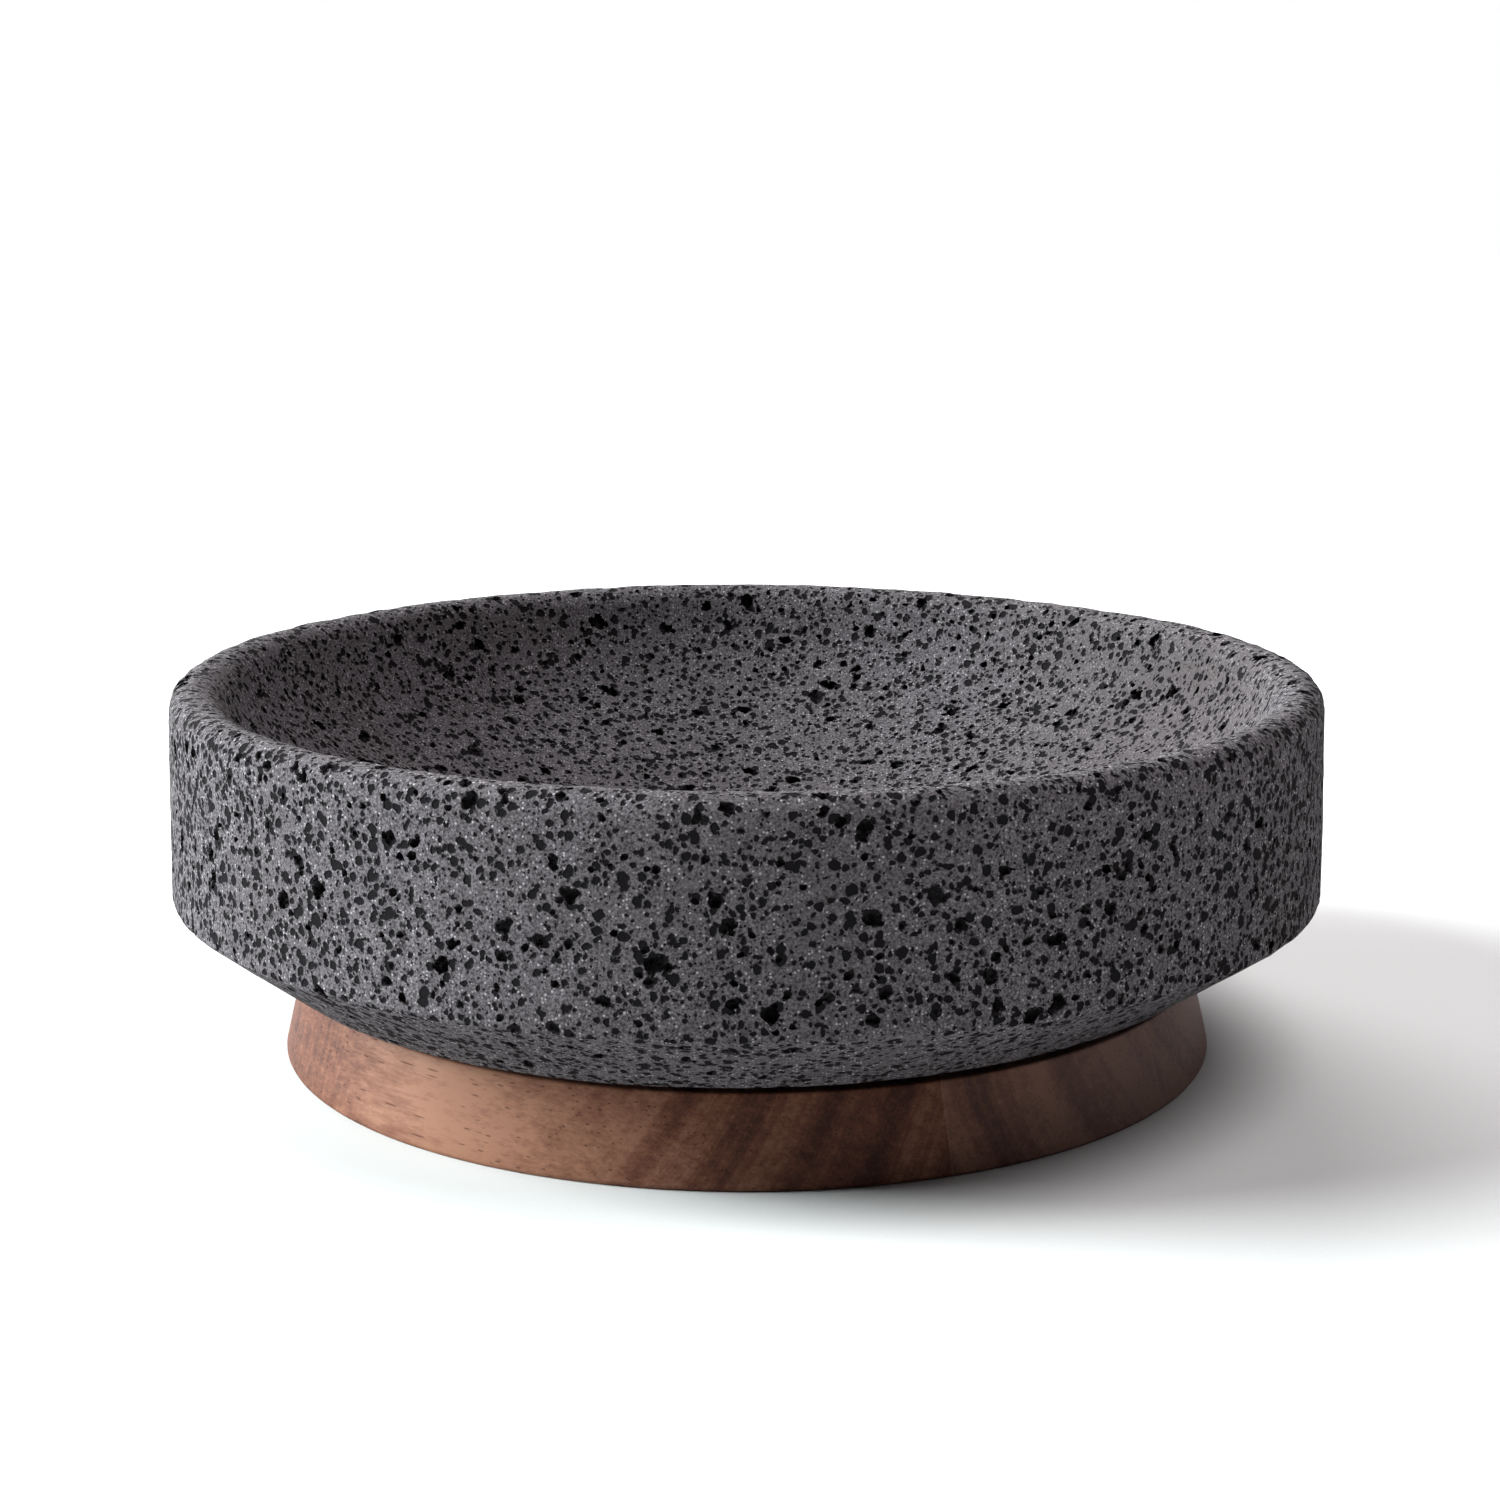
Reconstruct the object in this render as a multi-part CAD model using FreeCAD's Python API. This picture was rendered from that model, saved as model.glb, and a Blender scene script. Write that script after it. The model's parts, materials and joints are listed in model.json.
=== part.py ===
import FreeCAD, Part
import math
import os

# Molcajete: a wide shallow bowl of porous stone that drops loosely into a low
# turned ring of hardwood and lifts straight out of it.
#
# Millimetres, +Z up. The origin is the centre of the wooden ring's foot, on the
# table. Both pieces are turned about Z, so each one is a half outline in the
# XZ plane, revolved once round.

# ---- wooden ring ----
RING_HEIGHT = 22.0
RING_SPREAD = 5.2           # how much wider the ring is at the table than at its top
RING_WALL = 8.7             # wood left outside the rebate, at the ring's top
LEDGE_HEIGHT = 14.0         # height of the ledge that carries the stone
LEDGE_WIDTH = 13.0          # how far the ledge reaches in under the stone's foot
RING_TOP_ARRIS = 0.8
RING_FOOT_ARRIS = 1.2
RING_INNER_ARRIS = 1.0

# ---- how the stone sits in the wood ----
SEAT_CLEARANCE = 1.0        # radial play of the stone's foot in the rebate
SHADOW_GAP = 3.0            # from the ring's top to the stone's underside
SHADOW_OVERHANG = 6.3       # how far the stone's lower edge stands out past the ring

# ---- stone bowl, outside ----
BOWL_RADIUS = 150.0         # at the corner under the wall, the widest place
FOOT_RADIUS = 108.0         # the round foot that drops into the ring
WALL_HEIGHT = 53.4
WALL_FLARE = 1.2            # how much narrower the wall is at the rim
BEVEL_HEIGHT = 19.6         # the undercut below the wall
CORNER_ROUND = 2.2
LOWER_EDGE_ROUND = 1.2
FOOT_ROUND = 1.5

# ---- stone bowl, rim and hollow ----
RIM_OUTER_ROUND = 5.0
RIM_FLAT = 0.8              # the level crest between the rim's two rounded sides
RIM_INNER_ROUND = 8.0
HOLLOW_DEPTH = 62.0         # from the rim to the middle of the floor
HOLLOW_SIDE_ROUND = 48.0    # the curve that leads from the rim to the floor
LIP_TURN = 70.0             # degrees that the rim turns down before that curve

# ---- sizes that follow from those above ----
REBATE_RADIUS = FOOT_RADIUS + SEAT_CLEARANCE
RING_BORE_RADIUS = FOOT_RADIUS - LEDGE_WIDTH
RING_TOP_RADIUS = REBATE_RADIUS + RING_WALL
RING_FOOT_RADIUS = RING_TOP_RADIUS + RING_SPREAD
UNDERSIDE_HEIGHT = RING_HEIGHT + SHADOW_GAP
LOWER_EDGE_RADIUS = RING_TOP_RADIUS + SHADOW_OVERHANG
CORNER_HEIGHT = UNDERSIDE_HEIGHT + BEVEL_HEIGHT
RIM_HEIGHT = CORNER_HEIGHT + WALL_HEIGHT
RIM_RADIUS = BOWL_RADIUS - WALL_FLARE
CREST_RADIUS = RIM_RADIUS - RIM_OUTER_ROUND - RIM_FLAT
FLOOR_HEIGHT = RIM_HEIGHT - HOLLOW_DEPTH


def point(radius, height):
    """A point of a half outline."""
    return FreeCAD.Vector(radius, 0.0, height)


def arc(centre, radius, start, end):
    """An arc of the outline between two angles, in degrees up from +X."""
    def at(angle):
        turn = math.radians(angle)
        return centre + point(radius * math.cos(turn), radius * math.sin(turn))
    return Part.Arc(at(start), at((start + end) / 2), at(end)).toShape()


def rounded_run(corners):
    """Straight edges from corner to corner, each corner rounded by its own radius.

    A corner is (radius from the axis, height, rounding). The first and the last
    corner are the run's ends and stay sharp.
    """
    points = [point(radius, height) for radius, height, _ in corners]
    edges = []
    reached = points[0]
    for index in range(1, len(corners) - 1):
        before = (points[index - 1] - points[index]).normalize()
        after = (points[index + 1] - points[index]).normalize()
        half_angle = before.getAngle(after) / 2
        rounding = corners[index][2]
        tangent = rounding / math.tan(half_angle)
        middle_way = (before + after).normalize()
        arc_centre = points[index] + middle_way * (rounding / math.sin(half_angle))
        arc_start = points[index] + before * tangent
        arc_end = points[index] + after * tangent
        edges.append(Part.LineSegment(reached, arc_start).toShape())
        edges.append(Part.Arc(arc_start, arc_centre - middle_way * rounding, arc_end).toShape())
        reached = arc_end
    edges.append(Part.LineSegment(reached, points[-1]).toShape())
    return edges


def turned(edges):
    """The solid that a closed half outline makes when it is turned about Z."""
    outline = Part.Face(Part.Wire(edges))
    solid = outline.revolve(FreeCAD.Vector(0, 0, 0), FreeCAD.Vector(0, 0, 1), 360)
    return Part.Solid(solid)


def hollow_edges():
    """The hollow's outline from the middle of its floor out to the crest of the rim.

    Three arcs, each tangent to the next: the floor, centred on the axis, the
    curved side, and the rounded inner lip.
    """
    lip_centre = point(CREST_RADIUS, RIM_HEIGHT - RIM_INNER_ROUND)
    turn = math.radians(LIP_TURN)
    inward = point(-math.sin(turn), math.cos(turn))
    side_centre = lip_centre + inward * (RIM_INNER_ROUND + HOLLOW_SIDE_ROUND)
    rise = side_centre.z - FLOOR_HEIGHT
    floor_round = (side_centre.x ** 2 + rise ** 2 - HOLLOW_SIDE_ROUND ** 2) / (
        2 * (rise - HOLLOW_SIDE_ROUND))
    floor_centre = point(0.0, FLOOR_HEIGHT + floor_round)
    floor_end = math.degrees(math.atan2(side_centre.z - floor_centre.z, side_centre.x))
    return [
        arc(floor_centre, floor_round, -90.0, floor_end),
        arc(side_centre, HOLLOW_SIDE_ROUND, floor_end, LIP_TURN - 90.0),
        arc(lip_centre, RIM_INNER_ROUND, LIP_TURN + 90.0, 90.0),
    ]


def stone_bowl():
    """The bowl: hollow, rounded rim, flaring wall, undercut bevel and the foot that drops in."""
    outside = rounded_run([
        (CREST_RADIUS, RIM_HEIGHT, 0.0),
        (RIM_RADIUS, RIM_HEIGHT, RIM_OUTER_ROUND),
        (BOWL_RADIUS, CORNER_HEIGHT, CORNER_ROUND),
        (LOWER_EDGE_RADIUS, UNDERSIDE_HEIGHT, LOWER_EDGE_ROUND),
        (FOOT_RADIUS, UNDERSIDE_HEIGHT, FOOT_ROUND),
        (FOOT_RADIUS, LEDGE_HEIGHT, FOOT_ROUND),
        (0.0, LEDGE_HEIGHT, 0.0),
    ])
    axis = Part.LineSegment(point(0.0, LEDGE_HEIGHT), point(0.0, FLOOR_HEIGHT)).toShape()
    return turned(hollow_edges() + outside + [axis])


def wooden_base_ring():
    """The ring: sloping outside, open centre, and a rebate whose ledge carries the stone."""
    bore_start = (RING_BORE_RADIUS, LEDGE_HEIGHT / 2)
    outline = rounded_run([
        bore_start + (0.0,),
        (RING_BORE_RADIUS, 0.0, RING_INNER_ARRIS),
        (RING_FOOT_RADIUS, 0.0, RING_FOOT_ARRIS),
        (RING_TOP_RADIUS, RING_HEIGHT, RING_TOP_ARRIS),
        (REBATE_RADIUS, RING_HEIGHT, RING_TOP_ARRIS),
        (REBATE_RADIUS, LEDGE_HEIGHT, RING_TOP_ARRIS),
        (RING_BORE_RADIUS, LEDGE_HEIGHT, RING_INNER_ARRIS),
        bore_start + (0.0,),
    ])
    return turned(outline)


os.makedirs("parts", exist_ok=True)
stone_bowl().exportStep("parts/stone_bowl.step")
wooden_base_ring().exportStep("parts/wooden_base_ring.step")
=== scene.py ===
"""Looks of a molcajete: a porous stone bowl that stands loose in a turned wooden ring.

Everything is in metres, +Z up, with the origin at the centre of the ring's foot.
"""
from __future__ import annotations

import json
import logging
import math
from dataclasses import dataclass
from enum import Enum
from itertools import pairwise
from typing import Any, Sequence

import bpy
import numpy as np
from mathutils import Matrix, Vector

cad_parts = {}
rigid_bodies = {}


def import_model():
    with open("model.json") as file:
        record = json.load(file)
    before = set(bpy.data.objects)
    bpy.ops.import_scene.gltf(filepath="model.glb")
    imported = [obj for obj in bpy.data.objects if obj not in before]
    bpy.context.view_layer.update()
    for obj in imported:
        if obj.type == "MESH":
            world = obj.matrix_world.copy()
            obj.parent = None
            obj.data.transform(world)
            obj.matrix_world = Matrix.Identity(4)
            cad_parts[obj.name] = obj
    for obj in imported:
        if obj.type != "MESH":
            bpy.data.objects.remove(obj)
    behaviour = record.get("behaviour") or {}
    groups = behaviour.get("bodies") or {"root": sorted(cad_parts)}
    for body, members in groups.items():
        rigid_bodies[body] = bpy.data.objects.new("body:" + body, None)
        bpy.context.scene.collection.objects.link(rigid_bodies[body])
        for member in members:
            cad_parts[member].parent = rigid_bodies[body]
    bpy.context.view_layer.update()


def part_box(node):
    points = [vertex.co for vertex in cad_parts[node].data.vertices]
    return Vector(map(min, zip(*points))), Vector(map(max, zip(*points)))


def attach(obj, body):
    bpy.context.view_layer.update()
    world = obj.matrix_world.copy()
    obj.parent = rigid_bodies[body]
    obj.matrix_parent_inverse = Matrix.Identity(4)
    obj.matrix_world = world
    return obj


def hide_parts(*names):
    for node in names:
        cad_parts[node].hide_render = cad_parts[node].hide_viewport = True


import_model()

MM = 0.001
Colour = tuple[float, float, float]
log = logging.getLogger("molcajete")


# ---------------------------------------------------------------- shader writing


class Maths(Enum):
    """The sums that a wire can do."""

    ADD = "ADD"
    SUBTRACT = "SUBTRACT"
    MULTIPLY = "MULTIPLY"
    DIVIDE = "DIVIDE"
    POWER = "POWER"
    LARGER = "MAXIMUM"
    SMALLER = "MINIMUM"
    ABOVE = "GREATER_THAN"
    SIZE = "ABSOLUTE"


class Wire:
    """A shader socket that takes part in Python expressions."""

    def __init__(self, recipe: "Recipe", socket: bpy.types.NodeSocket) -> None:
        """Holds the socket and the recipe that its sums are added to."""
        self.recipe = recipe
        self.socket = socket

    def maths(self, sum_kind: Maths, first: Any, second: Any = None) -> "Wire":
        """Adds one Math node.

        Args:
            sum_kind: What the node works out.
            first: A wire or a number.
            second: A wire or a number, where the sum takes two.

        Returns:
            The node's result.
        """
        values = {0: first} if second is None else {0: first, 1: second}
        node = self.recipe.node("ShaderNodeMath", {"operation": sum_kind.value}, values)
        return Wire(self.recipe, node.outputs[0])

    def __add__(self, other: Any) -> "Wire":
        """This plus other."""
        return self.maths(Maths.ADD, self, other)

    def __radd__(self, other: Any) -> "Wire":
        """Other plus this."""
        return self.maths(Maths.ADD, other, self)

    def __sub__(self, other: Any) -> "Wire":
        """This less other."""
        return self.maths(Maths.SUBTRACT, self, other)

    def __rsub__(self, other: Any) -> "Wire":
        """Other less this."""
        return self.maths(Maths.SUBTRACT, other, self)

    def __mul__(self, other: Any) -> "Wire":
        """This times other."""
        return self.maths(Maths.MULTIPLY, self, other)

    def __rmul__(self, other: Any) -> "Wire":
        """Other times this."""
        return self.maths(Maths.MULTIPLY, other, self)

    def __truediv__(self, other: Any) -> "Wire":
        """This over other."""
        return self.maths(Maths.DIVIDE, self, other)

    def __pow__(self, other: Any) -> "Wire":
        """This to the power of other."""
        return self.maths(Maths.POWER, self, other)

    def __gt__(self, other: Any) -> "Wire":
        """1 where this is above other, and 0 elsewhere."""
        return self.maths(Maths.ABOVE, self, other)

    def clamped(self) -> "Wire":
        """This, kept between 0 and 1."""
        return self.maths(Maths.SMALLER, self.maths(Maths.LARGER, self, 0.0), 1.0)

    def eased(self) -> "Wire":
        """This, kept between 0 and 1, with a slow start and a slow end."""
        step = self.clamped()
        return step * step * (3.0 - 2.0 * step)

    def past(self, start: float, width: float) -> "Wire":
        """0 as far as start, rising to 1 a width further on."""
        return ((self - start) / width).clamped()

    def short_of(self, end: float, width: float) -> "Wire":
        """1 as far as a width before end, falling to 0 at end."""
        return ((end - self) / width).clamped()

    def larger(self, other: Any) -> "Wire":
        """The larger of this and other."""
        return self.maths(Maths.LARGER, self, other)

    def size(self) -> "Wire":
        """This without its sign."""
        return self.maths(Maths.SIZE, self)


class Recipe:
    """One material's node tree, written as expressions."""

    def __init__(self, name: str) -> None:
        """Starts an empty material of that name, with its output node."""
        self.material = bpy.data.materials.new(name)
        self.material.use_nodes = True
        self.tree = self.material.node_tree
        self.tree.nodes.clear()
        self.output = self.tree.nodes.new("ShaderNodeOutputMaterial")

    def node(self, kind: str, settings: dict[str, Any], values: dict[Any, Any]) -> bpy.types.Node:
        """Adds one node.

        Args:
            kind: The node's type.
            settings: Its own settings, set first. "stops" holds a ramp's stops.
            values: A wire, a number or a colour for each input, by name or place.

        Returns:
            The node.
        """
        node = self.tree.nodes.new(kind)
        for key, value in settings.items():
            if key == "stops":
                self._set_stops(node.color_ramp, value)
            else:
                setattr(node, key, value)
        for key, value in values.items():
            if isinstance(value, Wire):
                self.tree.links.new(value.socket, node.inputs[key])
            else:
                node.inputs[key].default_value = value
        return node

    @staticmethod
    def _set_stops(ramp: bpy.types.ColorRamp, stops: Sequence[tuple[float, Colour]]) -> None:
        """Gives a colour ramp these stops in place of its own two.

        Args:
            ramp: The ramp to change.
            stops: The place and the colour of each stop, from left to right.
        """
        while len(ramp.elements) < len(stops):
            ramp.elements.new(1.0)
        for element, (place, colour) in zip(ramp.elements, stops):
            element.position = place
            element.color = (*colour, 1.0)

    def wire(self, node: bpy.types.Node, output: Any = 0) -> Wire:
        """One of a node's outputs as a wire."""
        return Wire(self, node.outputs[output])

    def place(self) -> Wire:
        """The point on the piece, in metres."""
        return self.wire(self.node("ShaderNodeTexCoord", {}, {}), "Object")

    def attribute(self, name: str) -> Wire:
        """A number that the mesh holds for each of its points."""
        return self.wire(self.node("ShaderNodeAttribute", {"attribute_name": name}, {}), "Fac")

    def stretched(
        self, vector: Wire, scale: Sequence[float], shift: Sequence[float] = (0, 0, 0),
    ) -> Wire:
        """A vector moved, then scaled along each axis.

        Args:
            vector: The vector to change.
            scale: What each axis is scaled by.
            shift: What is added first.

        Returns:
            The changed vector.
        """
        moved = self.node("ShaderNodeVectorMath", {"operation": "ADD"}, {0: vector, 1: tuple(shift)})
        scaled = self.node(
            "ShaderNodeVectorMath", {"operation": "MULTIPLY"}, {0: self.wire(moved), 1: tuple(scale)})
        return self.wire(scaled)

    def parts(self, vector: Wire) -> list[Wire]:
        """A vector's X, Y and Z."""
        node = self.node("ShaderNodeSeparateXYZ", {}, {0: vector})
        return [self.wire(node, axis) for axis in "XYZ"]

    def distance(self, vector: Wire, scale: Sequence[float], centre: Sequence[float]) -> Wire:
        """How far a vector lies from a centre, once each axis is scaled.

        Args:
            vector: Where to look.
            scale: What each axis is scaled by.
            centre: Where the distance is measured from.

        Returns:
            The distance.
        """
        away = self.stretched(vector, scale, tuple(-at for at in centre))
        return self.wire(self.node("ShaderNodeVectorMath", {"operation": "LENGTH"}, {0: away}), "Value")

    def turned(self, vector: Wire, degrees: float) -> Wire:
        """A vector turned about Z.

        Args:
            vector: The vector to turn.
            degrees: How far, counterclockwise seen from above.

        Returns:
            The turned vector.
        """
        settings = {"rotation_type": "Z_AXIS"}
        values = {"Vector": vector, "Angle": math.radians(degrees)}
        return self.wire(self.node("ShaderNodeVectorRotate", settings, values))

    def noise(self, vector: Wire, scale: float, detail: float = 2.0, rough: float = 0.5) -> Wire:
        """Soft noise from 0 to 1, scale lumps to the metre."""
        values = {"Vector": vector, "Scale": scale, "Detail": detail, "Roughness": rough}
        return self.wire(self.node("ShaderNodeTexNoise", {}, values), "Fac")

    def warped(self, vector: Wire, scale: float, amount: float) -> Wire:
        """A vector pushed about by coloured noise.

        Args:
            vector: The vector to push.
            scale: Lumps of noise to the metre.
            amount: How far a point moves at most, in metres.

        Returns:
            The pushed vector.
        """
        values = {"Vector": vector, "Scale": scale, "Detail": 1.0}
        colour = self.wire(self.node("ShaderNodeTexNoise", {}, values), "Color")
        push = self.stretched(colour, (2 * amount,) * 3, (-0.5,) * 3)
        return self.wire(self.node("ShaderNodeVectorMath", {"operation": "ADD"}, {0: vector, 1: push}))

    def cells(self, vector: Wire, scale: float) -> tuple[Wire, Wire]:
        """Scattered points.

        Args:
            vector: Where to look.
            scale: Cells to the metre.

        Returns:
            The distance to the nearest point, in cells, and that point's own random number.
        """
        settings = {"voronoi_dimensions": "3D", "feature": "F1"}
        node = self.node("ShaderNodeTexVoronoi", settings, {"Vector": vector, "Scale": scale})
        split = self.node("ShaderNodeSeparateColor", {}, {0: self.wire(node, "Color")})
        return self.wire(node, "Distance"), self.wire(split, 0)

    def mix(self, share: Any, first: Any, second: Any) -> Wire:
        """Two colours mixed.

        Args:
            share: How much of the second colour, from 0 to 1.
            first: A wire or a colour.
            second: A wire or a colour.

        Returns:
            The mixed colour.
        """
        values = {
            0: share,
            6: (*first, 1.0) if isinstance(first, tuple) else first,
            7: (*second, 1.0) if isinstance(second, tuple) else second,
        }
        node = self.node("ShaderNodeMix", {"data_type": "RGBA"}, values)
        return self.wire(node, 2)

    def bump(self, height: Wire, depth: float, strength: float = 1.0) -> Wire:
        """A normal from a height, where a height of 1 stands depth metres proud."""
        values = {"Height": height, "Distance": depth, "Strength": strength}
        return self.wire(self.node("ShaderNodeBump", {}, values))

    def finish(self, values: dict[str, Any]) -> bpy.types.Material:
        """Closes the material with one Principled shader that takes these values."""
        shader = self.node("ShaderNodeBsdfPrincipled", {}, values)
        self.tree.links.new(shader.outputs[0], self.output.inputs["Surface"])
        return self.material


# ---------------------------------------------------------------- turning


class Outline:
    """A half outline in the XZ plane, walked from point to point and then turned about Z."""

    def __init__(self, start: Sequence[float]) -> None:
        """Starts at (radius, height)."""
        self.points: list[Vector] = [Vector(start)]

    def line(self, end: Sequence[float], longest: float) -> "Outline":
        """Walks straight on.

        Args:
            end: Where to, as (radius, height).
            longest: The longest step.

        Returns:
            This outline.
        """
        start = self.points[-1]
        steps = max(1, math.ceil((Vector(end) - start).length / longest))
        self.points += [start.lerp(Vector(end), (step + 1) / steps) for step in range(steps)]
        return self

    def arc(self, centre: Sequence[float], start: float, end: float, steps: int) -> "Outline":
        """Walks an arc that starts where the outline is.

        Args:
            centre: The arc's centre.
            start: The angle that it starts at, in degrees up from outward.
            end: The angle that it ends at.
            steps: How many steps it takes.

        Returns:
            This outline.
        """
        centre = Vector(centre)
        radius = (self.points[-1] - centre).length
        for step in range(1, steps + 1):
            angle = math.radians(start + (end - start) * step / steps)
            self.points.append(centre + radius * Vector((math.cos(angle), math.sin(angle))))
        return self

    def corners(self, corners: Sequence[tuple[float, float, float]], longest: float) -> "Outline":
        """Walks straight from corner to corner, rounding each one.

        Args:
            corners: (radius, height, rounding) of each corner. The last stays sharp.
            longest: The longest straight step.

        Returns:
            This outline.
        """
        arc_steps = 4
        for (radius, height, rounding), after in pairwise(corners):
            corner = Vector((radius, height))
            back = (self.points[-1] - corner).normalized()
            on = (Vector(after[:2]) - corner).normalized()
            half = back.angle(on) / 2
            middle = (back + on).normalized()
            centre = corner + middle * (rounding / math.sin(half))
            self.line(corner + back * (rounding / math.tan(half)), longest)
            leave = corner + on * (rounding / math.tan(half)) - centre
            arrive = self.points[-1] - centre
            turn = arrive.angle(leave)
            for step in range(1, arc_steps + 1):
                share = step / arc_steps
                swung = arrive * math.sin((1 - share) * turn) + leave * math.sin(share * turn)
                self.points.append(centre + swung / math.sin(turn))
        return self.line(corners[-1][:2], longest)

    def turned(self, name: str, steps: int) -> bpy.types.Object:
        """Spins the outline once about Z, as on a lathe.

        Args:
            name: The new piece's name.
            steps: How many faces go once round.

        Returns:
            The closed piece, facing outwards.
        """
        weld = 0.002 * MM
        bpy.ops.object.select_all(action="DESELECT")
        bpy.ops.mesh.primitive_plane_add(size=MM)
        piece = bpy.context.active_object
        piece.name = piece.data.name = name
        bpy.ops.object.mode_set(mode="EDIT")
        bpy.ops.mesh.select_all(action="SELECT")
        bpy.ops.mesh.merge(type="CENTER")
        start = self.points[0]
        bpy.ops.transform.translate(value=(start.x, 0.0, start.y))
        for before, after in pairwise(self.points):
            step = after - before
            move = {"value": (step.x, 0.0, step.y)}
            bpy.ops.mesh.extrude_vertices_move(TRANSFORM_OT_translate=move)
        bpy.ops.mesh.select_all(action="SELECT")
        bpy.ops.mesh.spin(steps=steps, angle=math.tau, center=(0, 0, 0), axis=(0, 0, 1))
        bpy.ops.mesh.select_all(action="SELECT")
        bpy.ops.mesh.remove_doubles(threshold=weld)
        bpy.ops.mesh.normals_make_consistent(inside=False)
        bpy.ops.object.mode_set(mode="OBJECT")
        return piece


def smooth(piece: bpy.types.Object, sharpest: float) -> None:
    """Shades a piece smooth, but not over its sharp edges.

    Args:
        piece: The piece.
        sharpest: The sharpest edge that is shaded smooth, in degrees.
    """
    bpy.ops.object.select_all(action="DESELECT")
    piece.select_set(True)
    bpy.context.view_layer.objects.active = piece
    bpy.ops.object.shade_smooth_by_angle(angle=math.radians(sharpest))


def dress(piece: bpy.types.Object, material: bpy.types.Material) -> None:
    """Gives a piece one material all over."""
    piece.data.materials.clear()
    piece.data.materials.append(material)


# ---------------------------------------------------------------- the stone


@dataclass(frozen=True)
class BubbleLayer:
    """One size of bubbles that are too small to be cut out of the stone."""

    cells: float        # to the metre, each with room for one bubble
    share: float        # how many of the cells hold a bubble, from 0 to 1
    smallest: float     # the least radius, in cells
    largest: float      # the greatest radius, in cells
    slope: float = 0.13  # how wide a bubble's sloping side is, in cells

    def mask(self, recipe: Recipe, place: Wire, swell: Wire) -> Wire:
        """Finds the layer's bubbles.

        Args:
            recipe: The material that the nodes are added to.
            place: Where to look.
            swell: What every radius grows by, in cells.

        Returns:
            0 outside the bubbles, rising from their edges to 1 inside.
        """
        far, pick = recipe.cells(place, self.cells)
        drawn = (pick - (1.0 - self.share)) / self.share
        radius = drawn * (self.largest - self.smallest) + self.smallest + swell
        missing = 1.0 - (drawn > 0.0)
        return ((radius - missing - far) / self.slope).eased()


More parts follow.
